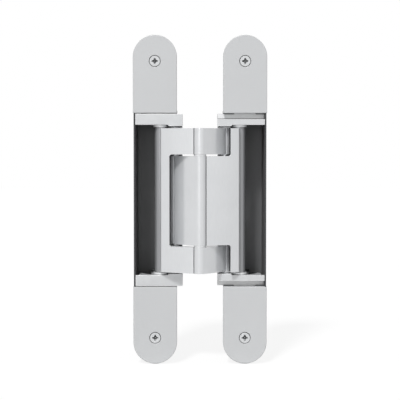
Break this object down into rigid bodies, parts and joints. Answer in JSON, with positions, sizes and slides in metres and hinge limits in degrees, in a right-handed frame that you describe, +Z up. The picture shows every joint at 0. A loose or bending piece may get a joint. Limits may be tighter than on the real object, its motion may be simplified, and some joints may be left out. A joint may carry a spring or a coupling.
{
  "type": "concealed door hinge",
  "caption": "Concealed door hinge opened flat: two mortised leaves with rounded covers, joined by two crossing arms on a centre pin, with pivots and curved guide grooves.",
  "frame": {"origin": "centre of the frame leaf's fixing holes, on the back face of its lugs", "axes": "+Z up along the leaves, +Y into the door frame, +X away from the door leaf"},
  "size_m": [0.0976, 0.0551, 0.24],
  "materials": {
    "dark_casting": "matt dark grey zinc die casting",
    "satin_cover": "satin silver paint",
    "silver_block": "fine satin silver",
    "silver_arm": "satin silver casting",
    "plated_screw": "nickel plated steel",
    "steel_pin": "ground steel",
    "bush_metal": "dull bearing metal"
  },
  "bodies": {
    "frame_leaf": {"frame_housing": "dark_casting", "frame_cover_top": "satin_cover", "frame_cover_bottom": "satin_cover", "frame_cover_screws": "plated_screw", "frame_slide_top": "silver_block", "frame_slide_bottom": "silver_block", "frame_carrier_top": "silver_block", "frame_carrier_bottom": "silver_block", "frame_adjusters": "plated_screw", "frame_clamp_screws": "plated_screw", "frame_pivot_pin": "steel_pin", "frame_pivot_bushes": "bush_metal"},
    "outer_link": {"outer_arm": "silver_arm", "outer_slide_pin": "steel_pin", "outer_slide_bushes": "bush_metal", "centre_pin": "steel_pin", "centre_washers": "bush_metal"},
    "inner_link": {"inner_arm": "silver_arm", "inner_slide_pin": "steel_pin", "inner_slide_bushes": "bush_metal", "centre_bushes": "bush_metal"},
    "door_leaf": {"door_housing": "dark_casting", "door_cover_top": "satin_cover", "door_cover_bottom": "satin_cover", "door_cover_screws": "plated_screw", "door_block_top": "silver_block", "door_block_bottom": "silver_block", "door_clamp_screws": "plated_screw", "door_pivot_pin": "steel_pin", "door_pivot_bushes": "bush_metal"}
  },
  "joints": [
    {"name": "door_swing", "type": "hinge", "parent": "frame_leaf", "child": "outer_link", "pos_m": [-0.0147, -0.0045, 0], "axis": [0, 0, 1], "range_deg": [0, 113.79]},
    {"name": "arms_cross", "type": "hinge", "parent": "outer_link", "child": "inner_link", "pos_m": [-0.0328, -0.022, 0], "axis": [0, 0, 1], "range_deg": [-47.6, 0]},
    {"name": "door_pivot", "type": "hinge", "parent": "inner_link", "child": "door_leaf", "pos_m": [-0.0509, -0.0045, 0], "axis": [0, 0, 1], "range_deg": [0, 113.8]}
  ],
  "couplings": [
    {"joint": "arms_cross", "follows": "door_swing", "ratio": -0.41824},
    {"joint": "door_pivot", "follows": "door_swing", "ratio": 1}
  ]
}
